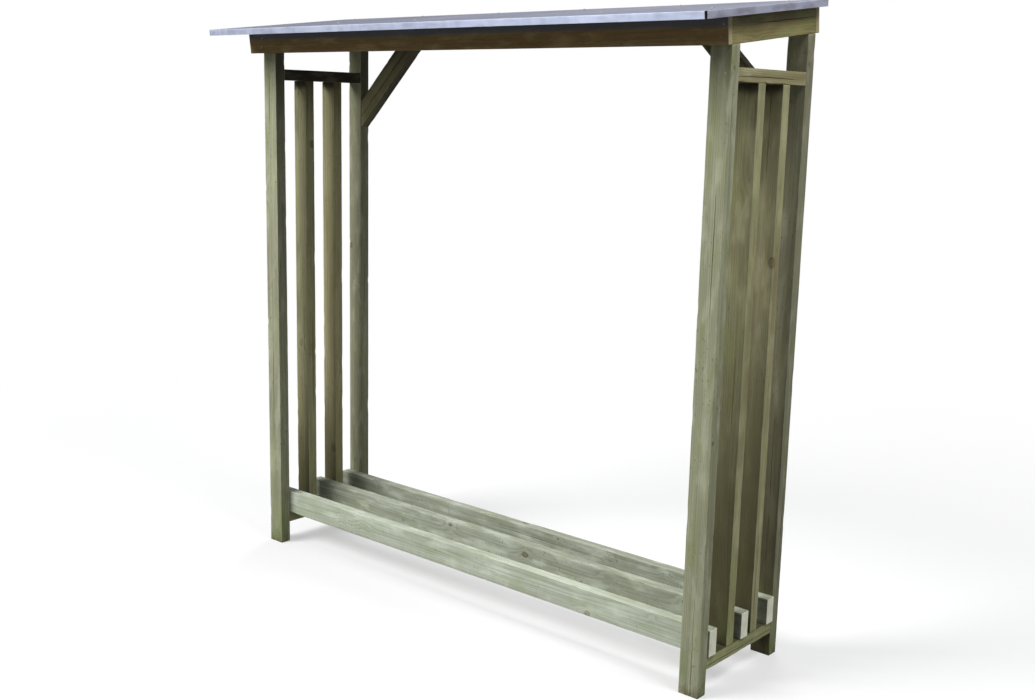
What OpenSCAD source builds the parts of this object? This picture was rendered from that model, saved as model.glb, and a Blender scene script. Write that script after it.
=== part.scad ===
// Open-fronted timber log store with slatted ends, three floor bearers and a low metal roof.
// Millimetres. +Z is up, the open front faces -Y, and +X is to the right seen from the front.
// The origin is on the ground, under the middle of the roof's box.

/* [Frame] */
// Length over the outer faces of the corner posts
frame_l = 1920; // [1200:10:2600]
// Depth over the front and back faces of the corner posts
frame_d = 440; // [320:5:800]
// Height of the front posts at their front face
front_h = 1805; // [1500:10:2100]
// Width of a post, seen from the front
post_w = 66; // [45:1:100]
// Depth of a post, from front to back
post_d = 40; // [30:1:75]

/* [Slatted ends] */
// Height of an end rail
rail_h = 38; // [25:1:60]
// Height of the bottom rails above the ground
bottom_rail_z = 75; // [40:1:200]
// Drop from the front post's top to the top of the top rails
top_rail_drop = 54; // [20:1:200]
// Thickness of an end slat, from front to back
slat_t = 38; // [20:1:50]
// Distance that the right end's slats sit behind an even spacing
right_slat_setback = 8; // [0:1:25]

/* [Floor] */
// Height of a floor bearer
bearer_h = 82; // [60:1:150]
// Thickness of a floor bearer
bearer_t = 38; // [25:1:50]
// Length of bearer that stands out past each end of the frame
bearer_proud = 5; // [0:1:20]
// Distance that the middle bearer sits behind the middle of the floor
middle_bearer_setback = 12; // [0:1:20]

/* [Knee braces] */
// Width of a brace, seen from the front
brace_w = 70; // [45:1:90]
// Thickness of a brace, from front to back
brace_t = 38; // [20:1:50]
// Height of the lowest point of the left brace above the ground
brace_foot_z = 1550; // [1200:1:1700]
// Distance that the right brace sits below the left one
right_brace_drop = 8; // [0:1:30]
// Height that a brace laps up the inside of the back fascia
brace_lap = 60; // [20:1:70]

/* [Roof] */
// Fall of the roof towards the front, in degrees
roof_pitch = 7; // [3:0.1:15]
// Height of a rafter, and of the fascias nailed across the rafters' ends
rafter_h = 73; // [60:1:120]
// Thickness of a rafter
rafter_t = 38; // [25:1:50]
// Thickness of the front and back fascias
fascia_t = 19; // [12:1:30]
// Length of fascia left uncut past the left-hand posts
fascia_overrun = 48; // [0:1:80]
// Thickness of the roof deck
deck_t = 18; // [9:1:30]
// Thickness of the metal roof sheet
sheet_t = 1; // [0.5:0.1:2]
// Depth of the sheet's folded lip, from the top of the sheet
lip_h = 20; // [10:1:60]
// Length of lip left open at each corner of the sheet
corner_notch = 9; // [0:1:20]
// Distance that the sheet stands out past the front fascia, along the slope
front_overhang = 148; // [60:1:250]
// Distance that the sheet stands out past each end of the fascias
side_overhang = 30; // [10:1:80]

/* [Hidden] */

// Colours of the finishes
post_colour = [0.50, 0.53, 0.42];
rail_colour = [0.46, 0.48, 0.37];
bearer_colour = [0.60, 0.62, 0.53];
roof_frame_colour = [0.42, 0.40, 0.29];
deck_colour = [0.47, 0.40, 0.28];
sheet_colour = [0.66, 0.69, 0.80];

// Blocks that cut sloping ends reach this far past what they cut
spare = 50;

// Heights of the end rails and what stands between them
slat_foot_z = bottom_rail_z + rail_h;
top_rail_z = front_h - top_rail_drop - rail_h;
slat_l = top_rail_z - slat_foot_z;

// Two slats share the gap between the posts of an end evenly
rail_l = frame_d - 2 * post_d;
slat_gap = (rail_l - 2 * slat_t) / 3;
slat_y = [post_d + slat_gap, post_d + 2 * slat_gap + slat_t];

// Floor bearers lie on the bottom rails
bearer_l = frame_l + 2 * bearer_proud;
middle_bearer_y = (frame_d - bearer_t) / 2 + middle_bearer_setback;
back_bearer_y = frame_d - post_d - bearer_t;

// The roof frame slopes as one: these run along the slope from the posts' front faces
rafter_l = frame_d / cos(roof_pitch);
fascia_l = frame_l + fascia_overrun;
deck_z = rafter_h;
sheet_top_z = rafter_h + deck_t + sheet_t;
sheet_front = -fascia_t - front_overhang;
sheet_back = rafter_l + fascia_t + sheet_t;
sheet_l = fascia_l + 2 * side_overhang;
sheet_left = -fascia_overrun - side_overhang;

// The sheet's highest front edge and lowest back edge bound the whole store
function slope_y(run, rise) = run * cos(roof_pitch) - rise * sin(roof_pitch);
box_front = slope_y(sheet_front, sheet_top_z);
box_back = max(slope_y(sheet_back, sheet_top_z - lip_h), slope_y(rafter_l + fascia_t, 0));
mid_x = sheet_left + sheet_l / 2;
mid_y = (box_front + box_back) / 2;

// From the front left post's outer corner on the ground to the store's own origin
module in_frame() {
    translate([-mid_x, -mid_y, 0]) children();
}

// On the roof's slope: Y runs up the slope, and Z stands square to it, from the rafters' undersides
module on_slope() {
    in_frame() translate([0, 0, front_h]) rotate([roof_pitch, 0, 0]) children();
}

// Swaps the left end of the frame for the right one
module right_hand() {
    translate([frame_l - 2 * mid_x, 0, 0]) mirror([1, 0, 0]) children();
}

// A post from the ground to the underside of the roof frame
module post(x, y) {
    color(post_colour) difference() {
        in_frame() translate([x, y, 0]) cube([post_w, post_d, front_h + frame_d]);
        on_slope() translate([x - spare, -frame_d, 0]) cube([post_w + 2 * spare, 3 * frame_d, 2 * frame_d]);
    }
}

// A rail laid flat between the front and back posts of an end
module rail(x, z) {
    color(rail_colour) in_frame() translate([x, post_d, z]) cube([post_w, rail_l, rail_h]);
}

// A slat stood on the bottom rail of an end
module slat(x, y) {
    color(rail_colour) in_frame() translate([x, y, slat_foot_z]) cube([post_w, slat_t, slat_l]);
}

// A floor bearer on edge across both bottom rails
module bearer(y) {
    color(bearer_colour) in_frame() translate([-bearer_proud, y, slat_foot_z])
        cube([bearer_l, bearer_t, bearer_h]);
}

// A brace at 45 degrees from the back left post up to the inside of the back fascia
module brace(foot_z) {
    foot_h = brace_w * sqrt(2);
    rise = front_h + frame_d - foot_z;
    color(rail_colour) intersection() {
        in_frame() translate([post_w, frame_d, foot_z]) rotate([90, 0, 0])
            linear_extrude(height = brace_t)
                polygon([[0, 0], [rise, rise], [rise, rise + foot_h], [0, foot_h]]);
        on_slope() translate([0, 0, brace_lap - 2 * front_h]) cube([frame_l, rafter_l, 2 * front_h]);
    }
}

// A rafter on edge over the two posts of an end
module rafter(x) {
    color(roof_frame_colour) on_slope() translate([x, 0, 0]) cube([rafter_t, rafter_l, rafter_h]);
}

// A fascia nailed across the ends of the rafters
module fascia(y) {
    color(roof_frame_colour) on_slope() translate([-fascia_overrun, y, 0])
        cube([fascia_l, fascia_t, rafter_h]);
}

// The boarded deck, one sheet thickness inside the folded metal all round
module deck() {
    color(deck_colour) on_slope() translate([sheet_left + sheet_t, sheet_front + sheet_t, deck_z])
        cube([sheet_l - 2 * sheet_t, sheet_back - sheet_front - 2 * sheet_t, deck_t]);
}

// One folded lip along the sheet's edge, open at both corners
module lip(run) {
    translate([corner_notch, 0, -lip_h]) cube([run - 2 * corner_notch, sheet_t, lip_h]);
}

// The metal sheet over the deck, with a lip folded down along each edge
module sheet() {
    run = sheet_back - sheet_front;
    color(sheet_colour) on_slope() translate([sheet_left, sheet_front, sheet_top_z]) {
        translate([0, 0, -sheet_t]) cube([sheet_l, run, sheet_t]);
        lip(sheet_l);
        translate([0, run - sheet_t, 0]) lip(sheet_l);
        translate([sheet_t, 0, 0]) rotate([0, 0, 90]) lip(run);
        translate([sheet_l, 0, 0]) rotate([0, 0, 90]) lip(run);
    }
}

module front_left_post() { post(0, 0); }
module front_right_post() { post(frame_l - post_w, 0); }
module back_left_post() { post(0, frame_d - post_d); }
module back_right_post() { post(frame_l - post_w, frame_d - post_d); }
module left_bottom_rail() { rail(0, bottom_rail_z); }
module left_top_rail() { rail(0, top_rail_z); }
module right_bottom_rail() { rail(frame_l - post_w, bottom_rail_z); }
module right_top_rail() { rail(frame_l - post_w, top_rail_z); }
module left_front_slat() { slat(0, slat_y[0]); }
module left_back_slat() { slat(0, slat_y[1]); }
module right_front_slat() { slat(frame_l - post_w, slat_y[0] + right_slat_setback); }
module right_back_slat() { slat(frame_l - post_w, slat_y[1] + right_slat_setback); }
module front_bearer() { bearer(post_d); }
module middle_bearer() { bearer(middle_bearer_y); }
module back_bearer() { bearer(back_bearer_y); }
module left_brace() { brace(brace_foot_z); }
module right_brace() { right_hand() brace(brace_foot_z - right_brace_drop); }
module left_rafter() { rafter(0); }
module right_rafter() { rafter(frame_l - rafter_t); }
module front_fascia() { fascia(-fascia_t); }
module back_fascia() { fascia(rafter_l); }
module roof_deck() { deck(); }
module roof_sheet() { sheet(); }

front_left_post();
front_right_post();
back_left_post();
back_right_post();
left_bottom_rail();
left_top_rail();
right_bottom_rail();
right_top_rail();
left_front_slat();
left_back_slat();
right_front_slat();
right_back_slat();
front_bearer();
middle_bearer();
back_bearer();
left_brace();
right_brace();
left_rafter();
right_rafter();
front_fascia();
back_fascia();
roof_deck();
roof_sheet();
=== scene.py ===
# %% [markdown]
# # A log store of sawn, pressure-treated timber
# A log store is an open rack that keeps firewood off the ground and under a roof.
# Four posts carry two rafters, and three bearers on edge carry the logs. Every stick
# is plain sawn softwood, so the lesson is mostly about one thing: making a straight
# block of wood look sawn, weathered and nailed, without changing its size.

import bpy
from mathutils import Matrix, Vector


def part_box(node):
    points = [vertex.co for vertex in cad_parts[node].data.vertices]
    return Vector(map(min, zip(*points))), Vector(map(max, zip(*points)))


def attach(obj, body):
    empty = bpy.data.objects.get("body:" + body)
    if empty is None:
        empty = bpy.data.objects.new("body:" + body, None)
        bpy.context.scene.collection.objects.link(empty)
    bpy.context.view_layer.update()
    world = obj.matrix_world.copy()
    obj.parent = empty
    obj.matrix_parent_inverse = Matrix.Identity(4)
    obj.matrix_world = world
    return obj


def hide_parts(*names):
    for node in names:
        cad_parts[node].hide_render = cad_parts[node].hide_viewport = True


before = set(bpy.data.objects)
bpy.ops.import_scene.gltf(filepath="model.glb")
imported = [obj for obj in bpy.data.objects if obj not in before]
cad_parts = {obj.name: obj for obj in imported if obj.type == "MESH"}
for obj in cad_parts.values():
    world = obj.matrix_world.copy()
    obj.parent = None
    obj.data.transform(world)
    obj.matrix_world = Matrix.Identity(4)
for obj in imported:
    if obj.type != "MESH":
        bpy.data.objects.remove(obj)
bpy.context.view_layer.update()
print("blocks in the frame:", len(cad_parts))

# %% [markdown]
# Everything else is Python and Blender's own modules. Numpy holds the points of a
# stick while it is being shaped, because whole columns of points move at once.

# %% Tools
import math

import bpy
import numpy as np
from mathutils import Euler, Matrix, Vector, noise

# %% [markdown]
# ## Materials as sums
# A pattern in Blender is a tree of small nodes. Wiring them by hand hides the idea,
# so a wire here is a Python value: adding two wires adds a Math node. A pattern then
# reads like the sum that it is. Wires that carry a colour or a direction have three
# parts, and a Math node would turn a colour grey, so those go through Vector Math.

# %% A wire that can be added and multiplied
class Wire:
    def __init__(self, finish, socket):
        self.finish, self.socket = finish, socket

    def math(self, operation, *others):
        return self.finish.add("Math", {"operation": operation}, dict(enumerate((self, *others))))[0]

    def __add__(self, other):
        return self.math("ADD", other)

    def __sub__(self, other):
        return self.math("SUBTRACT", other)

    def __rsub__(self, other):
        return self.finish.add("Math", {"operation": "SUBTRACT"}, {0: other, 1: self})[0]

    def __mul__(self, other):
        return self.math("MULTIPLY", other)

    def __truediv__(self, other):
        return self.math("DIVIDE", other)

    def __pow__(self, other):
        return self.math("POWER", other)

    __radd__, __rmul__ = __add__, __mul__

    def ramp(self, low, high):
        """0 below low, 1 above high, and a soft S between them."""
        return self.finish.add("MapRange", {"interpolation_type": "SMOOTHSTEP"},
                               {"Value": self, "From Min": low, "From Max": high})[0]


# %% A finish, which is one tree of nodes
class Finish:
    def __init__(self, name, owner=None):
        """A new material with an empty tree, or the emptied tree of the world."""
        self.owner = owner or bpy.data.materials.new(name)
        self.owner.use_nodes = True
        self.nodes, self.links = self.owner.node_tree.nodes, self.owner.node_tree.links
        self.nodes.clear()

    def add(self, kind, settings=None, sockets=None):
        """Any node: its settings first, then a value or a wire for each socket."""
        node = self.nodes.new("ShaderNode" + kind)
        for name, value in (settings or {}).items():
            setattr(node, name, value)
        for name, value in (sockets or {}).items():
            if isinstance(value, Wire):
                self.links.new(value.socket, node.inputs[name])
            else:
                node.inputs[name].default_value = value
        shown = [socket for socket in node.outputs if socket.enabled]
        by_name = {socket.name: Wire(self, socket) for socket in shown}
        return by_name | {i: Wire(self, socket) for i, socket in enumerate(shown)}

    def vector(self, operation, *values):
        return self.add("VectorMath", {"operation": operation}, dict(enumerate(values)))[0]

    def blend(self, amount, first, second):
        """A colour between two others."""
        return self.add("Mix", {"data_type": "RGBA"}, {0: amount, 6: first, 7: second})[0]

    def lit(self, colour, amount):
        """A colour made lighter or darker."""
        if not isinstance(colour, Wire):
            return (*(part * amount for part in colour[:3]), 1.0)
        return self.add("VectorMath", {"operation": "SCALE"}, {0: colour, "Scale": amount})[0]

    def cloud(self, place, spread, detail=2.0):
        """Soft noise from 0 to 1. Spread says how fast it changes along each axis."""
        stretched = self.vector("MULTIPLY", place, spread)
        return self.add("TexNoise", {}, {"Vector": stretched, "Scale": 1.0, "Detail": detail})[0]

    def parts(self, wire):
        found = self.add("SeparateXYZ", {}, {0: wire})
        return found[0], found[1], found[2]

    def kept(self, name):
        """What the mesh itself remembers under this name, as three numbers and as one."""
        found = self.add("Attribute", {"attribute_name": name})
        return found["Vector"], found["Fac"]

    def done(self, colour, roughness, height, depth, **constants):
        """Ends the tree in one Principled shader, with the relief as a bump."""
        bump = self.add("Bump", {}, {"Strength": 0.6, "Distance": depth, "Height": height})[0]
        varying = {"Base Color": colour, "Roughness": roughness, "Normal": bump}
        fixed = {name.replace("_", " "): value for name, value in constants.items()}
        shader = self.add("BsdfPrincipled", {}, varying | fixed)[0]
        self.add("OutputMaterial", {}, {0: shader})
        print("finish", self.owner.name, "has", len(self.nodes), "nodes")
        return self.owner


# %% [markdown]
# Screen colours are easier to judge than the linear numbers that a renderer adds up,
# so colours are written as screen values from 0 to 255 and turned linear once.

# %% Screen colour to linear colour
def tint(red, green, blue):
    def linear(value):
        share = value / 255
        return share / 12.92 if share <= 0.04045 else ((share + 0.055) / 1.055) ** 2.4
    return (linear(red), linear(green), linear(blue), 1.0)


print("mid grey is", round(tint(128, 128, 128)[0], 3))

# %% [markdown]
# ## Treated softwood
# A tree grows a ring a year round its pith, so a sawn stick is a slice through a pile
# of thin cones. Drawing lines on each face would never meet at the corners. Here the
# rings are a solid pattern instead: the distance from the pith, cut into years. The
# faces then show long flames and the cut ends show arcs, and they agree with each
# other. Each stick remembers where it lay in its log, under the name "grain".
#
# Knots are the stubs of branches. They are scattered through the same solid as small
# balls, each nearest to its own stretch of wood, and the rings bend round them.

# %% Knots
STRETCH = (0.36, 0.085, 0.085)  # metres of wood to each stub, along the grain and across it


def knots(wood, grain):
    """How much knot there is, its dark rim, its rings, and how hard it pulls the grain."""
    scattered = wood.vector("DIVIDE", grain, STRETCH)
    stub = wood.add("TexVoronoi", {}, {"Vector": scattered, "Scale": 1.0, "Randomness": 0.9})
    apart = wood.vector("SUBTRACT", scattered, stub["Position"])
    away = wood.vector("MULTIPLY", apart, (STRETCH[0] * 0.7, *STRETCH[1:]))
    distance = wood.add("VectorMath", {"operation": "LENGTH"}, {0: away})["Value"]
    chance, _, _ = wood.parts(stub["Color"])
    ragged = (wood.cloud(grain, (150, 150, 150)) - 0.5) * 0.5
    widths = distance / (chance * 0.009 + 0.003) + ragged
    knot = 1 - widths.ramp(0.8, 1.15)
    rim = knot * widths.ramp(0.45, 0.9)
    heart = knot * (widths * 4.5).math("SINE").ramp(-0.6, 0.9)
    return knot, rim, heart, (widths * widths * -0.16).math("EXPONENT")


# %% Yearly rings
YEAR = 0.0052  # metres of growth in a year


def late_wood(wood, grain, pull):
    """The hard brown wood at the end of each year, from 0 to 1."""
    _, across, through = wood.parts(grain)
    wander = wood.cloud(grain, (1.3, 10, 10)) - 0.5
    from_pith = (across * across + through * through) ** 0.5 + wander * 0.02 + pull * 0.009
    year = (from_pith / YEAR + wood.cloud(grain, (0.4, 55, 55), 1.0) * 1.6).math("FRACT")
    return year.ramp(0.35, 0.86) * (1 - year.ramp(0.93, 1.0))


# %% [markdown]
# What happens to timber out of doors depends on where it is and which way it faces.
# Rain and light bleach it in patches, and mould grows in specks. Faces that look in
# under the roof, and the undersides, are painted darker: this is painted shade.
#
# Three kinds of local mark are painted shade. Logs lean against the ends of the rack, so
# the faces between the slats are painted darker up to the top of the stack: painted
# shadow of the logs, together with damp staining. The faces that look out are painted
# lighter, which is painted light. Close below the roof, a rail and the head of a brace,
# painted shade darkens the wood. The ends of the bearers sit tucked in between the
# slats, and their sides there get painted shade.

# %% Where the surface is and which way it faces
def setting(wood):
    place = wood.add("TexCoord")["Object"]
    sideways, _, height = wood.parts(place)
    facing_x, facing_y, facing_z = wood.parts(wood.add("NewGeometry")["Normal"])
    return {
        "place": place,
        "sideways": sideways,
        "height": height,
        "outside": facing_x.math("ABSOLUTE").ramp(0.4, 0.9),
        "inside": (facing_x * sideways * -1.0).ramp(0.2, 0.6),
        "back": facing_y.ramp(0.3, 0.8),
        "top": facing_z.ramp(0.3, 0.8),
        "under": (facing_z * -1.0).ramp(0.25, 0.75),
    }


def weather_and_shade(wood, colour, pale, grain, at):
    """Bleached patches and specks of mould, then painted shade on inner faces under the roof and on
    undersides.
    """
    bleached = wood.cloud(grain, (9, 31, 31), 3.0).ramp(0.46, 0.72)
    colour = wood.blend(bleached * 0.46, colour, wood.lit(pale, 1.2))
    specks = wood.cloud(at["place"], (120, 120, 80), 3.0).ramp(0.60, 0.72)
    mould = specks * wood.cloud(at["place"], (9, 9, 5), 2.0).ramp(0.42, 0.62)
    colour = wood.blend(mould * 0.5, colour, tint(66, 64, 42))
    # Painted shade: inner faces darken toward the roof, and undersides darken.
    painted_roof_shade = at["height"].ramp(0.7, 1.7) * 0.26 + at["height"].ramp(1.5, 1.78) * 0.5
    return wood.lit(colour, (1 - at["inside"] * painted_roof_shade) * (1 - at["under"] * 0.55))


# %% Local painted shade
LEFT_STACK = 0.65  # height of the stacked logs at the left end


def log_shade_and_stain(wood, colour, logs, blotch, at):
    """Four numbers in logs: how strong the painted shadow of the logs is, with its damp
    staining, how high the stack stands at the right end, how much of it back faces get,
    and how much lighter or darker the outer faces are painted, which is painted light."""
    amount, right_stack, behind, outside = logs
    # Painted light: outer faces are scaled by outside and the rest by 0.94.
    colour = wood.lit(colour, at["outside"] * outside + 0.94)
    stack_top = at["sideways"].ramp(-1.0, 1.0) * (right_stack - LEFT_STACK) + LEFT_STACK
    # Painted shadow of the logs, with damp staining, up to the top of the stack.
    painted_log_shade = 1 - (at["height"] / stack_top + (blotch - 0.5) * 0.25).ramp(0.25, 1.0)
    painted_log_shade = painted_log_shade * (1 - at["back"] * (1 - behind))
    return wood.blend((1 - at["outside"]) * painted_log_shade * amount, colour, tint(50, 45, 18))


def paint_shade_below(wood, colour, shade_from_above, blotch, at):
    """Painted shade close below an edge. The tuple gives the way up, where the shade starts and is
    full, its amount and its colour.
    """
    upward, low, high, amount, shade_colour = shade_from_above
    rise = wood.add("VectorMath", {"operation": "DOT_PRODUCT"}, {0: at["place"], 1: upward})["Value"]
    rise = rise + (blotch - 0.5) * 0.25 * (high - low)
    # Painted shade: what is close below an edge is darkened, less on faces that look out.
    return wood.blend(rise.ramp(low, high) * (1 - at["outside"] * 0.75) * amount, colour, shade_colour)


def tucked_shade(wood, colour, amount, at):
    """Painted shade on the last few centimetres of a bearer, where it sits between the slats, except on
    its top and its cut end.
    """
    end = at["sideways"].math("ABSOLUTE").ramp(0.905, 0.945)
    # Painted shade on the bearer's sides between the slats.
    painted_end_shade = end * (1 - at["outside"]) * (1 - at["top"])
    return wood.blend(painted_end_shade * amount, colour, tint(50, 45, 25))


# %% [markdown]
# The finish itself is painted in layers, each over the one before: the wood and its
# rings, the green salts of the treatment, the knots, the weather with painted shade,
# the local painted shade and staining, the worn arrises and sawn ends, and at the very
# foot algae and soil.

# %% Timber finish
def timber(name, tints, damp=0.5, logs=None, shade_from_above=None, tucked=0.0):
    """Tints are for the pale wood, the deep wood, the knots and the sawn ends."""
    wood = Finish(name)
    pale, deep, knot_colour, end_colour = (tint(*values) for values in tints)
    grain, _ = wood.kept("grain")
    tone, _ = wood.kept("tone")
    light, green, warm = wood.parts(tone)
    knot, rim, heart, pull = knots(wood, grain)
    late = late_wood(wood, grain, pull)
    fibre = wood.cloud(grain, (9, 520, 520), 3.0)
    blotch = wood.cloud(grain, (2.1, 13, 13), 4.0).ramp(0.32, 0.68)
    streak = wood.cloud(grain, (1.1, 75, 75), 3.0).ramp(0.3, 0.7)

    # The wood, its treatment and its knots
    colour = wood.blend(blotch * 0.55 + streak * 0.45, pale, deep)
    colour = wood.blend(late * 0.40, colour, wood.lit(deep, 0.62))
    colour = wood.blend(green * (1 - blotch * 0.6), colour, tint(126, 142, 92))
    salts = wood.cloud(grain, (7, 26, 26), 3.0).ramp(0.46, 0.70)
    colour = wood.blend(salts * (green + 0.12), colour, tint(132, 142, 82))
    colour = wood.blend(warm * (0.45 + streak * 0.4), colour, tint(122, 98, 58))
    colour = wood.blend(knot * 0.6 + heart * 0.15, colour, knot_colour)
    colour = wood.blend(rim * 0.6, colour, tint(52, 42, 26))
    colour = wood.lit(colour, (fibre * 0.34 + 0.83) * light)

    # Weather, painted shade, local painted shade and staining
    at = setting(wood)
    colour = weather_and_shade(wood, colour, pale, grain, at)
    if logs:
        colour = log_shade_and_stain(wood, colour, logs, blotch, at)
    if tucked:
        colour = tucked_shade(wood, colour, tucked, at)
    if shade_from_above:
        colour = paint_shade_below(wood, colour, shade_from_above, blotch, at)

    # Worn arrises are paler, the sawn ends are paler still, and damp feet are green
    _, arris = wood.kept("arris")
    _, cut = wood.kept("cut")
    colour = wood.blend(arris * fibre.ramp(0.42, 0.62) * 0.4, colour, wood.lit(end_colour, 0.9))
    end = wood.lit(wood.blend(late * 0.4, end_colour, wood.lit(deep, 0.9)), fibre * 0.3 + 0.9)
    colour = wood.blend(cut * (0.92 - blotch * 0.25), colour, end)
    green_foot = wood.cloud(at["place"], (24, 24, 9), 4.0).ramp(0.4, 0.62)
    algae = (1 - at["height"].ramp(0.0, 0.34)) * green_foot
    colour = wood.blend(algae * damp, colour, tint(104, 122, 62))
    splashes = wood.cloud(at["place"], (60, 60, 40), 3.0).ramp(0.35, 0.6)
    soil = (1 - at["height"].ramp(0.0, 0.06)) * splashes
    colour = wood.blend(soil * 0.6, colour, tint(88, 78, 56))

    # Relief: hard rings stand up, soft wood has weathered back, and the saw left lines
    saw_lines = wood.cloud(grain, (420, 9, 9), 1.0)
    relief = late * 0.35 + fibre * 0.5 + saw_lines * 0.3 - rim * 0.5 + knot * 0.3
    rough = 0.78 + fibre * 0.16 - knot * 0.15 + algae * 0.08
    return wood.done(colour, rough, relief, 0.0011, Specular_IOR_Level=0.3)


# %% Finishes for rails, bearers and deck boards
RAIL_TINTS = (138, 135, 106), (104, 98, 70), (92, 78, 50), (170, 164, 130)
BEARER_TINTS = (198, 205, 190), (164, 170, 152), (126, 114, 80), (252, 250, 228)
BOARD_TINTS = (118, 100, 72), (84, 68, 46), (66, 50, 32), (74, 62, 46)
# Rails and slats get the painted shadow of the logs, and their outer faces painted lighter.
LOGS_ON_SLATS = (0.8, 1.25, 1.0, 0.50)

rail_finish = timber("weathered_rail", RAIL_TINTS, damp=0.3, logs=LOGS_ON_SLATS)
bearer_finish = timber("pale_bearer", BEARER_TINTS, damp=0.15, tucked=0.62)
board_finish = timber("deck_boards", BOARD_TINTS)

# %% [markdown]
# ## Shaping a stick
# A sawn stick is nearly a block, and the eye knows at once when it is exactly one.
# The saw leaves the faces a little hollow, the corners get knocked, and as the wood
# dries it splits along the grain. A bevel modifier would round every corner alike,
# so each stick is built as rings of points along its length instead. Every ring has
# its own corner sizes, and a drying split is a few columns of points that sink in.
#
# The block itself gives the size. Its flat faces say where the stick may be, so
# sloping tops and mitred feet come out by themselves, and nothing can leave the block.

# %% Read a block's flat faces
SQUARE = 0.02  # a face leans less than this when it runs along the stick


def faces_of(node):
    """Each flat face once, as the direction it faces and how far out it lies."""
    found = {}
    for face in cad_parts[node].data.polygons:
        key = tuple(round(c, 3) + 0.0 for c in face.normal)
        found[key] = (np.array(face.normal), face.normal.dot(face.center))
    return list(found.values())


def corners_of(node):
    return np.array([v.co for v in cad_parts[node].data.vertices])


print("front left post has", len(faces_of("front_left_post")), "flat faces")


# %% Which way the wood grows in a block
def directions(faces, corners):
    """The long direction of a block and the two directions across it."""
    runs = []
    for i, (first, _) in enumerate(faces):
        for second, _ in faces[i + 1:]:
            line = np.cross(first, second)
            if np.linalg.norm(line) > 0.5:
                line /= np.linalg.norm(line)
                runs.append((np.ptp(corners @ line), tuple(line)))
    along = np.array(max(runs)[1])
    along *= np.sign(along[np.abs(along).argmax()])
    sides = [n for n, _ in faces if abs(n @ along) < SQUARE]
    across = max(sides, key=lambda n: (round(n[0], 3), round(n[1], 3)))
    return along, across, np.cross(along, across)


for node in ("front_left_post", "left_brace", "left_rafter"):
    print(node, "grows along", directions(faces_of(node), corners_of(node))[0].round(3))

# %% [markdown]
# Small random wandering is what makes a straight thing look made rather than drawn.
# A sum of a few waves with random lengths is smooth, cheap and the same each time.

# %% Wandering lines
def wandering(rng, wave, size):
    """A smooth random curve along a stick, between -size and size."""
    waves = [(rng.uniform(0.6, 1.7) * wave, rng.uniform(0, 2 * math.pi)) for _ in range(4)]
    return lambda s: size * sum(np.sin(2 * np.pi * s / w + p) for w, p in waves) / 4


def bumps(rng, s, count, low, high):
    """A few separate swellings from 0 to 1, at random places along a stick."""
    total = np.zeros_like(s)
    for _ in range(count):
        middle, half = rng.uniform(s[0], s[-1]), rng.uniform(low, high) / 2
        total = np.maximum(total, np.clip(1 - ((s - middle) / half) ** 2, 0, 1))
    return total


# %% Corners and splits
STEP = 0.007  # distance between the rings of points
COLUMN = 0.010  # distance between the columns of points
ARRIS = 0.0012  # how much of a corner is eased away
SPLIT_REACH = 0.0016  # where the columns beside a split stop
SPLIT_DEEP = 0.0055


def corner_sizes(rng, s):
    """Four eased arrises that vary along the stick, each with a few knocks."""
    sizes = []
    for _ in range(4):
        eased = ARRIS * (1 + wandering(rng, 0.21, 0.45)(s) + wandering(rng, 0.05, 0.25)(s))
        sizes.append(eased + bumps(rng, s, 3, 0.02, 0.07) * rng.uniform(0.001, 0.0035))
    return sizes


def side_columns(rng, s, half, before, after, split):
    """Where each column runs across a side, and how deep it has sunk."""
    start, stop = before - half, half - after
    count = max(2, round(2 * half / COLUMN))
    if not split:
        return [(start + (stop - start) * f, 0 * s) for f in np.linspace(0, 1, count + 1)]
    line = rng.uniform(-0.45, 0.45) * half + wandering(rng, 0.5, 0.0016)(s)
    line += wandering(rng, 0.09, 0.0005)(s)
    opened = bumps(rng, s, split, 0.12, 0.65) ** 0.6
    lips = 0.0004 + 0.0007 * opened
    shares = np.linspace(0, 1, count // 2 + 2)
    left = [(start + (line - SPLIT_REACH - start) * f, 0 * s) for f in shares]
    right = [(line + SPLIT_REACH + (stop - line - SPLIT_REACH) * f, 0 * s) for f in shares]
    edges = [(line + lips * side, 0.0001 * opened) for side in (-1, 1)]
    return [*left, edges[0], (line, SPLIT_DEEP * opened), edges[1], *right]


# %% [markdown]
# Four sides and four corners make one ring of columns round the stick. The columns
# are cut to length one by one against the end faces, so a slanting end comes out flat.

# %% The section of a stick, and the ring of columns round it
SPARE = 0.0003  # kept back from each face of the block


def section(faces, across, through):
    """The middle of a block's section, and half its size less a little to spare."""
    def reach(direction):
        return max(d for n, d in faces if n @ direction > 0.999)

    sides = np.array([(-reach(-way), reach(way)) for way in (across, through)])
    return sides.sum(1) / 2, (sides[:, 1] - sides[:, 0]) / 2 - SPARE


def ring_of(rng, s, size, splits):
    """Every column round a stick: where it runs, how it sinks, and if it is an arris."""
    rounds = corner_sizes(rng, s)
    points, sinks, worn = [], [], []
    for k in range(4):
        angle = k * math.pi / 2
        out = np.array([math.cos(angle), math.sin(angle)])
        on = np.array([-math.sin(angle), math.cos(angle)])
        reach_out, half = (size[0], size[1]) if k % 2 == 0 else (size[1], size[0])
        for t, deep in side_columns(rng, s, half, rounds[k - 1], rounds[k], splits[k]):
            points.append(out * reach_out + on * t[:, None])
            sinks.append(-out * deep[:, None])
            worn.append(0.0)
        for turn in (math.pi / 6, math.pi / 3):
            way = math.cos(turn) * out + math.sin(turn) * on
            centre = out * (reach_out - rounds[k][:, None]) + on * (half - rounds[k][:, None])
            points.append(centre + way * rounds[k][:, None])
            sinks.append(-way * np.zeros((len(s), 1)))
            worn.append(1.0)
    return np.array(points).transpose(1, 0, 2), np.array(sinks).transpose(1, 0, 2), worn


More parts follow.
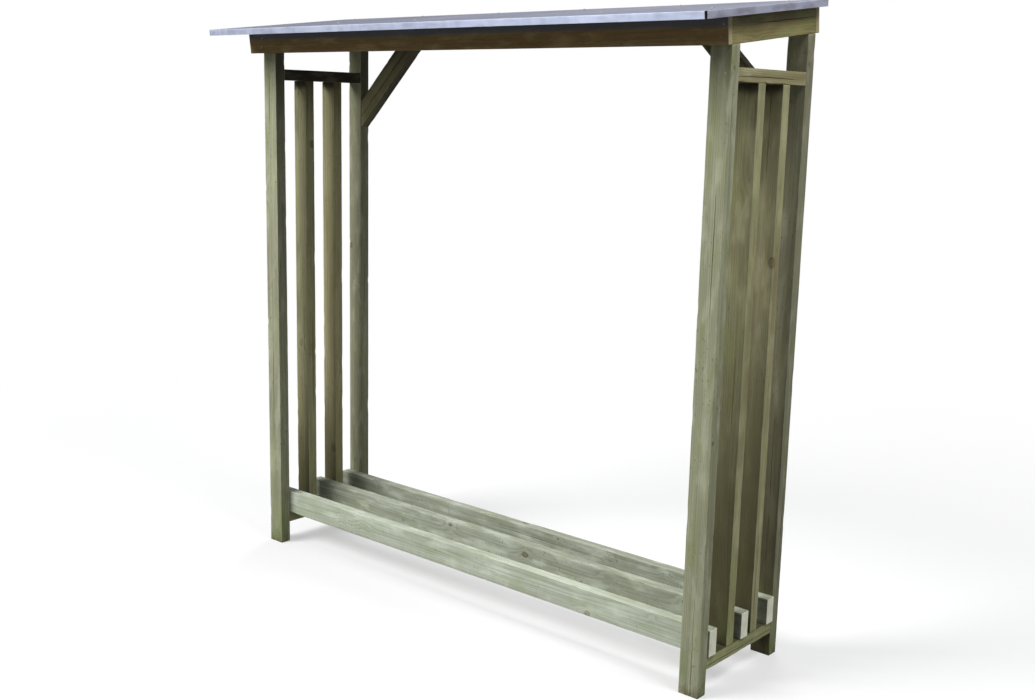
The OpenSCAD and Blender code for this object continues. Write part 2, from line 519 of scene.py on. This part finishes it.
# %% What saw and drying do to the ring
HOLLOW = 0.00015
BEND = 0.0002


def dried(rng, s, ring, sunk, seed):
    """The saw leaves each face slightly hollow, and the whole stick dries a little bent."""
    outward = ring / np.linalg.norm(ring, axis=2, keepdims=True)
    waves = [[noise.noise(Vector((x * 9 + seed, p[0] * 60, p[1] * 60))) for p in row]
             for x, row in zip(s, ring)]
    ring = ring + sunk - outward * (HOLLOW * (1 + np.array(waves)))[:, :, None]
    bend = np.stack([wandering(rng, s[-1], BEND)(s), wandering(rng, s[-1], BEND)(s)], 1)
    return ring + bend[:, None, :]


# %% Cut the columns to length
EASED_END = 0.0014  # how far back from the cut the rings stop
END_DIP = 0.0003
END_SHARES = (0.965, 0.9, 0.7, 0.35, 0.06)  # sizes of the rings that close an end


def cut_to_length(s, ring, faces, axes):
    """Each column ends where the block's own end faces stop it."""
    along, across, through = axes
    flat = ring[..., :1] * across + ring[..., 1:] * through
    start, stop = np.full(ring.shape[:2], -1e3), np.full(ring.shape[:2], 1e3)
    for n, d in faces:
        lean = n @ along
        if lean >= SQUARE:
            stop = np.minimum(stop, (d - flat @ n) / lean)
        elif lean <= -SQUARE:
            start = np.maximum(start, (d - flat @ n) / lean)
    share = (s / s[-1])[:, None]
    up = start + EASED_END + share * (stop - start - 2 * EASED_END)
    return start[0], stop[-1], np.dstack([up, ring])


def sawn_end(row, level, dip):
    """Rings that shrink from the edge of a sawn end to its middle."""
    centre = row.mean(0)
    return [np.dstack([(level + dip * (share < 0.9))[None], (centre + (row - centre) * share)[None]])
            for share in END_SHARES]


# %% Turn rings of points into a mesh
def tube(name, points, count, wide):
    index = np.arange(count * wide).reshape(count, wide)
    following = np.roll(index, -1, axis=1)
    quads = np.stack([index[:-1], following[:-1], following[1:], index[1:]], -1).reshape(-1, 4)
    caps = [index[0][::-1].tolist(), index[-1].tolist()]
    mesh = bpy.data.meshes.new(name)
    mesh.from_pydata(points.tolist(), [], quads.tolist() + caps)
    mesh.set_sharp_from_angle(angle=math.radians(38))
    return mesh


def remember(mesh, label, kind, field, values):
    """Stores one value or one vector for each point, where the finish can read it."""
    kept = mesh.attributes.new(label, kind, "POINT")
    kept.data.foreach_set(field, values.astype(np.float32).ravel())


def log_place(rng, points, middle, seed):
    """Where each point lay in its log: along the trunk, and off the pith in both directions."""
    pith = rng.uniform(-1, 1, 2)
    pith *= rng.uniform(0.035, 0.085) / np.linalg.norm(pith)
    foot = points[:, 0].min()
    place = np.column_stack([points[:, 0] - foot + seed * 3.7, points[:, 1:] - middle + pith])
    place[:, 1:] += (points[:, :1] - foot) * rng.uniform(-0.012, 0.012, 2)
    return place


# %% A whole stick
def stick(name, faces, corners, seed, finish, tone, splits):
    rng = np.random.default_rng(seed)
    axes = directions(faces, corners)
    middle, size = section(faces, *axes[1:])
    run = np.ptp(corners @ axes[0])
    s = np.linspace(0, run, int(run / STEP) + 2)
    ring, sunk, worn = ring_of(rng, s, size, splits)
    ring = dried(rng, s, ring, sunk, seed) + middle
    start, stop, body = cut_to_length(s, ring, faces, axes)
    near = sawn_end(ring[0], start, END_DIP)[::-1]
    far = sawn_end(ring[-1], stop, -END_DIP)
    solid = np.concatenate([*near, body, *far])
    count, wide = solid.shape[:2]
    points = solid.reshape(-1, 3)
    world = points[:, :1] * axes[0] + points[:, 1:2] * axes[1] + points[:, 2:] * axes[2]

    mesh = tube(name, world, count, wide)
    cut = np.zeros((count, wide))
    cut[:len(near)] = cut[-len(far):] = 1
    remember(mesh, "grain", "FLOAT_VECTOR", "vector", log_place(rng, points, middle, seed))
    remember(mesh, "tone", "FLOAT_VECTOR", "vector", np.tile(tone, (len(points), 1)))
    remember(mesh, "cut", "FLOAT", "value", cut)
    remember(mesh, "arris", "FLOAT", "value", np.tile(worn, count))
    mesh.materials.append(finish)
    piece = bpy.data.objects.new(name, mesh)
    bpy.context.scene.collection.objects.link(piece)
    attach(piece, "root")
    return piece


# %% [markdown]
# ## The sticks of the frame
# Each block of the frame now gets its stick. The tone says how light it is, how green
# the treatment left it and how brown it has stayed, because no two sticks in a
# bundle match. The left top rail's very dark tone is painted shade, as it stands deep
# under the roof. Splits are counted side by side round the stick.

# %% Saw sticks out of blocks
def saw(sticks, finishes):
    """Sticks give a seed, a tone and splits. A finish is found by a stick's last word."""
    for node, (seed, tone, splits) in sticks.items():
        finish = finishes.get(node, finishes.get(node.split("_")[-1]))
        piece = stick(node + "_timber", faces_of(node), corners_of(node), seed, finish, tone, splits)
        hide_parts(node)
        print(node, "has", len(piece.data.polygons), "faces")


# %% Posts
POST_TINTS = (164, 163, 142), (130, 130, 106), (126, 116, 86), (186, 184, 156)
square_up = max((n for n, _ in faces_of("roof_deck")), key=lambda n: n[2])
fascia_rise = corners_of("front_fascia") @ square_up
roof_foot, roof_head = float(fascia_rise.min()), float(fascia_rise.max())
# Posts get painted shade, with an olive tint, toward their tops under the roof.
post_finish = timber("weathered_post", POST_TINTS,
                     shade_from_above=(square_up, roof_foot - 0.28, roof_foot - 0.08, 0.20, tint(66, 66, 30)))
# The back right post gets the painted shadow of the logs nearly to its top, and its outer face painted
# darker, which is painted shade.
shaded_post = timber("shaded_post", POST_TINTS, logs=(0.85, 1.9, 0.15, -0.14))
saw({
    "front_left_post": (11, (1.02, 0.16, 0.0), (0, 1, 0, 2)),
    "front_right_post": (12, (0.92, 0.24, 0.05), (1, 0, 0, 2)),
    "back_left_post": (13, (0.86, 0.12, 0.12), (1, 0, 1, 0)),
    "back_right_post": (14, (0.90, 0.12, 0.16), (1, 0, 0, 1)),
}, {"post": post_finish, "back_right_post": shaded_post})

# %% Rails, slats and braces
rail_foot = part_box("right_top_rail")[0].z
brace_foot, brace_head = (corner.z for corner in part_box("left_brace"))
# Slats get painted shade just below the top rail.
slat_finish = timber("weathered_slat", RAIL_TINTS, damp=0.3, logs=LOGS_ON_SLATS,
                     shade_from_above=((0, 0, 1), rail_foot - 0.038, rail_foot - 0.010, 0.92, tint(40, 36, 12)))
# Braces get painted shade that deepens toward their heads under the roof.
brace_finish = timber("brace_timber", RAIL_TINTS,
                      shade_from_above=((0, 0, 1), brace_foot + 0.06, brace_head - 0.02, 0.88, tint(30, 24, 8)))
saw({
    "left_bottom_rail": (21, (0.95, 0.10, 0.10), (0, 0, 0, 0)),
    # The left top rail's lightness of 0.15 is painted shade: it stands deep under the roof.
    "left_top_rail": (22, (0.15, 0.05, 0.55), (0, 0, 0, 0)),
    "right_bottom_rail": (23, (1.0, 0.15, 0.05), (1, 0, 0, 0)),
    "right_top_rail": (24, (1.0, 0.10, 0.10), (1, 0, 0, 0)),
    "left_front_slat": (25, (1.25, 0.05, 0.0), (1, 0, 0, 1)),
    "left_back_slat": (26, (1.42, 0.05, 0.14), (0, 1, 0, 0)),
    "right_front_slat": (37, (0.9, 0.15, 0.05), (0, 1, 0, 1)),
    "right_back_slat": (28, (0.95, 0.08, 0.06), (1, 0, 0, 1)),
    "left_brace": (29, (1.45, 0.05, 0.1), (1, 0, 0, 1)),
    "right_brace": (30, (1.45, 0.05, 0.1), (1, 0, 0, 0)),
}, {"rail": rail_finish, "slat": slat_finish, "brace": brace_finish})

# %% Bearers
saw({
    "front_bearer": (41, (1.0, 0.08, 0.0), (1, 1, 0, 2)),
    "middle_bearer": (42, (0.80, 0.08, 0.16), (0, 1, 0, 0)),
    "back_bearer": (43, (0.78, 0.08, 0.16), (1, 0, 1, 0)),
}, {"bearer": bearer_finish})

# %% Rafters and fascias
ROOF_TINTS = (142, 126, 88), (84, 66, 36), (70, 52, 28), (170, 160, 124)
# Fascias and rafters get painted shade along their tops under the sheet's lip, least on faces that look
# out.
roof_finish = timber("roof_timber", ROOF_TINTS,
                     shade_from_above=(square_up, roof_head - 0.035, roof_head - 0.019, 0.85, tint(72, 79, 92)))
saw({
    "left_rafter": (51, (1.0, 0.1, 0.1), (0, 0, 1, 0)),
    "right_rafter": (52, (1.1, 0.25, 0.0), (1, 0, 0, 0)),
    "front_fascia": (53, (0.86, 0.0, 1.1), (0, 0, 0, 1)),
    "back_fascia": (54, (0.84, 0.05, 0.5), (0, 0, 1, 0)),
}, {"rafter": roof_finish, "fascia": roof_finish})

# %% [markdown]
# ## The boarded deck
# Under the metal lies a deck of boards, which run along the roof and are nailed down
# on the rafters. The block of the deck is one slab, so it is ripped into boards
# here: the same end faces, but each board gets two side faces of its own, a hair
# apart. From below the gaps show as thin dark lines.

# %% Rip the deck into boards
BOARDS = 6
GAP = 0.0006  # kept back on each side where two boards meet
FRONT_EDGE, BACK_EDGE = 0.012, 0.003  # kept back inside the folded sheet
UNDER_SHEET, SHORT_ENDS = 0.0016, 0.012
deck_faces, deck_corners = faces_of("roof_deck"), corners_of("roof_deck")
up_slope = max((n for n, _ in deck_faces if abs(n[2]) < 0.5 and n[1] > 0), key=lambda n: n[1])
along_slope = deck_corners @ up_slope
fore, aft = along_slope.min(), along_slope.max()
shared = [(n, d - UNDER_SHEET * (n[2] > 0.9) - SHORT_ENDS * (abs(n[0]) > 0.9))
          for n, d in deck_faces if abs(n @ up_slope) < 0.5]
outline = deck_corners - along_slope[:, None] * up_slope
for i in range(BOARDS):
    low, high = (fore + (aft - fore) * step / BOARDS for step in (i, i + 1))
    low += GAP if i else FRONT_EDGE
    high -= GAP if i < BOARDS - 1 else BACK_EDGE
    faces = [*shared, (up_slope, high), (-up_slope, -low)]
    corners = np.vstack([outline + low * up_slope, outline + high * up_slope])
    tone = (0.95 + 0.03 * (i % 3), 0.05, 0.15)
    board = stick(f"deck_board_{i + 1}", faces, corners, 61 + i, board_finish, tone, (0, 0, 0, 0))
    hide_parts("roof_deck")
pitch = math.atan2(up_slope[2], up_slope[1])
print(BOARDS, "boards, roof pitch", round(math.degrees(pitch), 2), "degrees")

# %% [markdown]
# ## Coated steel sheet
# Roofing steel is zinc coated and then painted, so it shines like paint and not like
# bare metal. Dust and grime streak the upright lips. The lips are painted darker toward
# one end, which is partly dust and partly painted shade, and on the short sides, which
# is painted shade with a little grime. The nearly flat top has gone dull, and its darker
# colour is painted shade. On it are pale runs, faint tide marks where water dries, and
# dark specks.

# %% Metal finish
def coated_steel():
    sheet = Finish("coated_steel")
    place = sheet.add("TexCoord")["Object"]
    sideways, _, facing = sheet.parts(sheet.add("NewGeometry")["Normal"])
    length, _, _ = sheet.parts(place)
    top = facing.ramp(0.6, 0.95)
    chalk = sheet.cloud(place, (6.0, 1.6, 6.0), 5.0).ramp(0.34, 0.70)
    run = sheet.cloud(place, (55, 1.3, 1.3), 3.0).ramp(0.45, 0.75)
    puddle = sheet.cloud(place, (5.0, 9.0, 9.0), 5.0)
    tide = 1 - ((puddle - 0.5) * 30).math("ABSOLUTE").ramp(0.2, 1.0)
    tide = tide * sheet.cloud(place, (2, 2, 2), 1.0).ramp(0.45, 0.65)
    speck = sheet.cloud(place, (90, 90, 90), 4.0).ramp(0.61, 0.78)
    wash = sheet.cloud(place, (46, 2.0, 2.0), 3.0).ramp(0.42, 0.7)

    # The lips: paint, then dust and painted shade toward one end, grime, streaks, and painted shade on
    # the short sides
    colour = sheet.blend(chalk, tint(188, 198, 224), tint(206, 214, 237))
    # Darker toward one end: partly dust, partly painted shade.
    dust_and_shade = (1 - length.ramp(-1.3, 1.0)) * (wash * 0.25 + 0.78)
    colour = sheet.blend(dust_and_shade * (1 - top), colour, tint(148, 154, 172))
    grime = sheet.cloud(place, (13, 13, 40), 5.0).ramp(0.40, 0.66)
    colour = sheet.blend(grime * (1 - top) * 0.30, colour, tint(112, 112, 130))
    colour = sheet.blend(wash * (1 - top) * 0.16, colour, tint(158, 162, 182))
    # The short side lips are painted darker: painted shade with a little grime.
    side_lip_shade = sideways.math("ABSOLUTE").ramp(0.6, 0.95)
    colour = sheet.blend(side_lip_shade * (grime * 0.2 + 0.62), colour, tint(112, 108, 120))

    # The top: painted shade, then runs, tide marks and specks
    # Painted shade: the top is painted darker than the lips.
    colour = sheet.blend(top * 0.9, colour, sheet.blend(chalk, tint(56, 56, 70), tint(78, 78, 92)))
    colour = sheet.blend(top * run * 0.22, colour, tint(134, 134, 144))
    colour = sheet.blend(top * tide * 0.08, colour, tint(150, 150, 154))
    colour = sheet.blend(top * speck * 0.7, colour, tint(60, 62, 54))
    rough = 0.44 + chalk * 0.1 + top * 0.42
    dimple = sheet.cloud(place, (260, 260, 260), 2.0)
    return sheet.done(colour, rough, dimple * 0.5 + speck * top, 0.0003, Specular_IOR_Level=0.25)


roof_paint = coated_steel()

# %% [markdown]
# The sheet is one flat piece with its corners cut out, folded down along all four
# edges. A sheet folds round a small radius and never lies perfectly flat. So the
# flat pattern is laid out as a net of points, and one rule bends each point into
# place. The corners stay open, as a tinsmith leaves them.

# %% Fold the sheet
sheet_corners = corners_of("roof_sheet")
lengthwise = np.array([1.0, 0, 0])
sloped = np.column_stack([sheet_corners @ axis for axis in (lengthwise, up_slope, square_up)])
(x0, y0, z0), (x1, y1, z1) = sloped.min(0), sloped.max(0)
THICK = 0.0009
FOLD = 0.0024  # radius of a fold
OPEN = 0.006  # how far from a corner its lips stop
SPACING = 0.012  # distance between the lines of the net
lip = z1 - z0


def net_lines(low, high):
    """Lines across the pattern, measured along the metal from the middle of the sheet."""
    flat = np.linspace(low + OPEN, high - OPEN, int((high - low) / SPACING))
    arc = np.linspace(0, FOLD * math.pi / 2, 5)
    drop = np.linspace(0, lip - FOLD, 4)[1:]
    outer = np.concatenate([[high - FOLD], high - FOLD + arc[1:], high - FOLD + arc[-1] + drop])
    inner = low + high - outer[::-1]
    return np.concatenate([inner, flat, outer])


def folded(value, low, high):
    """How far across and how far down a point lands once the edge is folded."""
    past = np.maximum(low + FOLD - value, value - (high - FOLD))
    sign = np.where(value > (low + high) / 2, 1, -1)
    edge = np.where(sign > 0, high - FOLD, low + FOLD)
    turn = np.clip(past / FOLD, 0, math.pi / 2)
    spread = np.where(past > 0, edge + sign * FOLD * np.sin(turn), value)
    drop = np.where(past > 0, FOLD * (1 - np.cos(turn)) + np.maximum(0, past - FOLD * math.pi / 2), 0)
    return spread, drop


lines_x, lines_y = net_lines(x0, x1), net_lines(y0, y1)
net_x, net_y = np.meshgrid(lines_x, lines_y, indexing="ij")
across_x, drop_x = folded(net_x, x0, x1)
across_y, drop_y = folded(net_y, y0, y1)
print("pattern of", net_x.size, "points, lip", round(lip * 1000, 1), "mm")

# %% Let the sheet ripple and the lips wander a little
FLAT_RIM = 0.05  # the ripple dies out this close to an edge
SAG = 0.0005
LEAN = 0.0006


def over_net(height):
    return np.array([[height(x, y) for y in lines_y] for x in lines_x])


broad = over_net(lambda x, y: noise.noise(Vector((x * 2.3, y * 5, 4.0))))
fine = over_net(lambda x, y: noise.noise(Vector((x * 9, y * 11, 8.0))))
from_edge = np.minimum.reduce([net_x - x0, x1 - net_x, net_y - y0, y1 - net_y])
sag = SAG * (1 + (broad + 0.4 * fine)) * np.clip(from_edge / FLAT_RIM, 0, 1)
lean = LEAN * (1 + over_net(lambda x, y: noise.noise(Vector((x * 6, y * 6, 20.0)))))
lean_x = lean * np.clip(drop_x / lip, 0, 1) * np.sign(net_x - (x0 + x1) / 2)
lean_y = lean * np.clip(drop_y / lip, 0, 1) * np.sign(net_y - (y0 + y1) / 2)
level = z1 - drop_x - drop_y - sag
sheet_points = ((across_x - lean_x)[..., None] * lengthwise
                + (across_y - lean_y)[..., None] * up_slope
                + level[..., None] * square_up)
print("sheet sags up to", round(float(sag.max()) * 1000, 2), "mm")

# %% Cut out the corners
NEARLY = 1e-6
past_x = (net_x < x0 + FOLD - NEARLY) | (net_x > x1 - FOLD + NEARLY)
past_y = (net_y < y0 + FOLD - NEARLY) | (net_y > y1 - FOLD + NEARLY)
in_x = (net_x > x0 + OPEN - NEARLY) & (net_x < x1 - OPEN + NEARLY)
in_y = (net_y > y0 + OPEN - NEARLY) & (net_y < y1 - OPEN + NEARLY)
there = (~past_x | in_y) & (~past_y | in_x)
number = np.arange(net_x.size).reshape(net_x.shape)
cells = [[number[i, j], number[i + 1, j], number[i + 1, j + 1], number[i, j + 1]]
         for i in range(len(lines_x) - 1) for j in range(len(lines_y) - 1)
         if there[i:i + 2, j:j + 2].all()]
print(len(cells), "cells of sheet")

# %% Give the sheet its thickness
mesh = bpy.data.meshes.new("folded_sheet")
used, compact = np.unique(cells, return_inverse=True)
mesh.from_pydata(sheet_points.reshape(-1, 3)[used].tolist(), [], compact.reshape(-1, 4).tolist())
mesh.materials.append(roof_paint)
folded_sheet = bpy.data.objects.new("folded_sheet", mesh)
bpy.context.scene.collection.objects.link(folded_sheet)
shell = folded_sheet.modifiers.new("metal", "SOLIDIFY")
shell.thickness, shell.offset = THICK, -1.0
bpy.context.view_layer.objects.active = folded_sheet
bpy.ops.object.modifier_apply(modifier="metal")
folded_sheet.data.shade_smooth()
folded_sheet.data.set_sharp_from_angle(angle=math.radians(50))
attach(folded_sheet, "root")
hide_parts("roof_sheet")
print("folded sheet has", len(folded_sheet.data.polygons), "faces")

# %% [markdown]
# ## Nails and screws
# The sticks are nailed where they cross. A wire nail's head is a flat disc with a
# slightly raised middle, driven level with the wood. One head is a lathe shape, so a
# short profile is turned round, and every head is a copy turned its own way.

# %% Bare and rusting steel
def nail_steel():
    steel = Finish("nail_steel")
    place = steel.add("TexCoord")["Object"]
    rust = steel.cloud(place, (160, 160, 160), 3.0).ramp(0.42, 0.62)
    colour = steel.blend(rust * 0.7, tint(150, 152, 142), tint(100, 76, 52))
    return steel.done(colour, 0.5 + rust * 0.35, rust, 0.0003, Metallic=0.35)


steel = nail_steel()


# %% Turn heads on a lathe
def heads(name, spots, profile, turns=14):
    """Many turned heads in one piece. A spot is a place on a face and the way it faces."""
    points, cells = [], []
    rng = np.random.default_rng(len(name))
    for place, way in spots:
        place, way = np.array(place), np.array(way) / np.linalg.norm(way)
        side = np.cross(way, (0.31, 0.95, 0.12))
        side /= np.linalg.norm(side)
        other = np.cross(way, side)
        lean = way + side * rng.uniform(-0.03, 0.03) + other * rng.uniform(-0.03, 0.03)
        first, base = len(points), rng.uniform(0, 6.28)
        for radius, height in profile:
            for k in range(turns):
                a = base + 2 * math.pi * k / turns
                around = math.cos(a) * side + math.sin(a) * other
                points.append(place + lean * height + around * radius)
        for row in range(len(profile) - 1):
            for k in range(turns):
                a, b = first + row * turns + k, first + row * turns + (k + 1) % turns
                cells.append([a, b, b + turns, a + turns])
        cells.append([first + (len(profile) - 1) * turns + k for k in range(turns)])
    mesh = bpy.data.meshes.new(name)
    mesh.from_pydata([tuple(p) for p in points], [], cells)
    mesh.shade_smooth()
    mesh.set_sharp_from_angle(angle=math.radians(40))
    mesh.materials.append(steel)
    piece = bpy.data.objects.new(name, mesh)
    bpy.context.scene.collection.objects.link(piece)
    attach(piece, "root")
    print(name, "has", len(spots), "heads")


# Radius and height of each ring of a nail's head
NAIL = [(0.0034, -0.0022), (0.0034, -0.0007), (0.0031, -0.0003), (0.0018, -0.0001), (0.0006, 0.0)]
SUNK = 0.0001  # how far a head sits inside the face

# %% Nails through the posts into the rails and the bearers
post_spots = []
for side in ("left", "right"):
    for end, facing in (("front", -1), ("back", 1)):
        low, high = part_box(f"{end}_{side}_post")
        middle = (low.x + high.x) / 2
        y = (low.y if facing < 0 else high.y) - facing * SUNK
        for rail in (f"{side}_bottom_rail", f"{side}_top_rail"):
            a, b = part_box(rail)
            for step in (-0.015, 0.016):
                post_spots.append(((middle + step, y, (a.z + b.z) / 2 + 0.12 * step), (0, facing, 0)))
        a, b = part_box(f"{end}_bearer")
        for step, rise in ((-0.012, 0.24), (0.014, 0.74)):
            post_spots.append(((middle + step, y, a.z + (b.z - a.z) * rise), (0, facing, 0)))
heads("post_nails", post_spots, NAIL)

# %% Nails down through the top rails and up through the bottom rails into the slats
slat_spots = []
for side in ("left", "right"):
    top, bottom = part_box(f"{side}_top_rail")[1].z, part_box(f"{side}_bottom_rail")[0].z
    for end in ("front", "back"):
        low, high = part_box(f"{side}_{end}_slat")
        x, y = (low.x + high.x) / 2, (low.y + high.y) / 2
        for step in (-0.014, 0.015):
            slat_spots.append(((x + step, y + step * 0.3, top - SUNK), (0, 0, 1)))
            slat_spots.append(((x - step, y + step * 0.3, bottom + SUNK), (0, 0, -1)))
heads("slat_nails", slat_spots, NAIL)

# %% Nails through the fascias into the rafters' ends
roof_spots = []
for end, facing in (("front", -1), ("back", 1)):
    corners = corners_of(f"{end}_fascia")
    out = (corners @ up_slope).min() if facing < 0 else (corners @ up_slope).max()
    low, high = (corners @ square_up).min(), (corners @ square_up).max()
    for side in ("left", "right"):
        a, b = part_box(f"{side}_rafter")
        for step, rise in ((-0.004, 0.28), (0.005, 0.72)):
            point = up_slope * (out - facing * SUNK) + square_up * (low + (high - low) * rise)
            point = point + np.array([(a.x + b.x) / 2 + step, 0, 0])
            roof_spots.append((point, up_slope * facing))
heads("fascia_nails", roof_spots, NAIL)

# %% [markdown]
# The sheet is held down on the deck by short roofing screws: a domed head on a thin
# washer, in two rows along the roof.

# %% Roofing screws
SCREW = [(0.0075, -0.0008), (0.0075, 0.0003), (0.0048, 0.0006),
         (0.0046, 0.0016), (0.0034, 0.0024), (0.0014, 0.0028)]
PRESSED = 0.0007  # how far the washers press into the sheet
screw_spots = []
for share in np.linspace(0.05, 0.95, 6):
    for y in (y0 + 0.19, y1 - 0.045):
        place = np.array([x0 + (x1 - x0) * share, 0, 0]) + up_slope * y + square_up * (z1 - PRESSED)
        screw_spots.append((place, square_up))
heads("roof_screws", screw_spots, SCREW, turns=18)

# %% [markdown]
# ## Floor, light and camera
# A plain pale floor and soft light show the object and nothing else. The camera sees
# a pale floor that fades to white, while light bounces off a dimmer one. In the same
# way the world is white only where the camera or a reflection sees it.

# %% Floor
FAR = 30.0
floor_mesh = bpy.data.meshes.new("floor")
square = [(-FAR, -FAR, 0), (FAR, -FAR, 0), (FAR, FAR, 0), (-FAR, FAR, 0)]
floor_mesh.from_pydata(square, [], [(0, 1, 2, 3)])
floor = bpy.data.objects.new("floor", floor_mesh)
bpy.context.scene.collection.objects.link(floor)
ground = Finish("pale_floor")
rays = ground.add("LightPath")
away = ground.add("VectorMath", {"operation": "LENGTH"}, {0: ground.add("TexCoord")["Object"]})["Value"]
dim = ground.add("BsdfDiffuse", {}, {"Color": (0.34, 0.34, 0.33, 1)})[0]
pale = ground.add("BsdfDiffuse", {}, {"Color": (0.80, 0.80, 0.80, 1)})[0]
white = ground.add("Emission", {}, {"Color": (1, 1, 1, 1), "Strength": 1.0})[0]
fading = ground.add("MixShader", {}, {0: away.ramp(1.0, 4.5) * 0.55 + 0.45, 1: pale, 2: white})[0]
shown = ground.add("MixShader", {}, {0: rays["Is Camera Ray"], 1: dim, 2: fading})[0]
ground.add("OutputMaterial", {}, {0: shown})
floor_mesh.materials.append(ground.owner)
print("floor is", 2 * FAR, "metres wide")

# %% World
world = bpy.data.worlds.new("studio")
bpy.context.scene.world = world
sky = Finish("studio", world)
rays = sky.add("LightPath")
looked_at = rays["Is Camera Ray"].math("MAXIMUM", rays["Is Glossy Ray"])
soft = sky.add("Background", {}, {"Color": (0.93, 0.96, 1.0, 1), "Strength": 0.24})[0]
bright = sky.add("Background", {}, {"Color": (1, 1, 1, 1), "Strength": 1.0})[0]
shown = sky.add("MixShader", {}, {0: looked_at, 1: soft, 2: bright})[0]
sky.add("OutputWorld", {}, {0: shown})
print("world has", len(sky.nodes), "nodes")


# %% Lamps
def softbox(name, place, aim, size, power):
    lamp = bpy.data.lights.new(name, "AREA")
    lamp.shape, lamp.size, lamp.energy = "DISK", size, power
    holder = bpy.data.objects.new(name, lamp)
    holder.location = place
    holder.rotation_euler = (Vector(aim) - Vector(place)).to_track_quat("-Z", "Y").to_euler()
    bpy.context.scene.collection.objects.link(holder)
    print(name, "light of", power, "watts")


softbox("key", (-3.0, -5.0, 5.9), (0, 0, 0.9), 4.2, 700)
softbox("side", (3.4, -0.2, 5.2), (0.6, 0, 0.9), 2.0, 180)
softbox("back", (-2.4, 5.0, 3.6), (0, 0, 0.9), 3.4, 150)

# %% Camera
DOWN, HEADING, ROLL = 10.887, 40.691, 1.3335  # degrees
AWAY = Vector((3.6626, -2.8430, 1.6294))  # from the foot of the front left post
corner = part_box("front_left_post")[0]
lens = bpy.data.cameras.new("camera")
lens.lens, lens.sensor_width, lens.sensor_fit = 43.475, 36.0, "HORIZONTAL"
lens.clip_end = 200
camera = bpy.data.objects.new("camera", lens)
aim = Euler((math.radians(90 - DOWN), 0, math.radians(HEADING))).to_matrix()
aim = aim @ Matrix.Rotation(math.radians(ROLL), 3, "Z")
camera.matrix_world = Matrix.Translation(corner + AWAY) @ aim.to_4x4()
bpy.context.scene.collection.objects.link(camera)
bpy.context.scene.camera = camera
bpy.context.scene.view_settings.view_transform = "Standard"
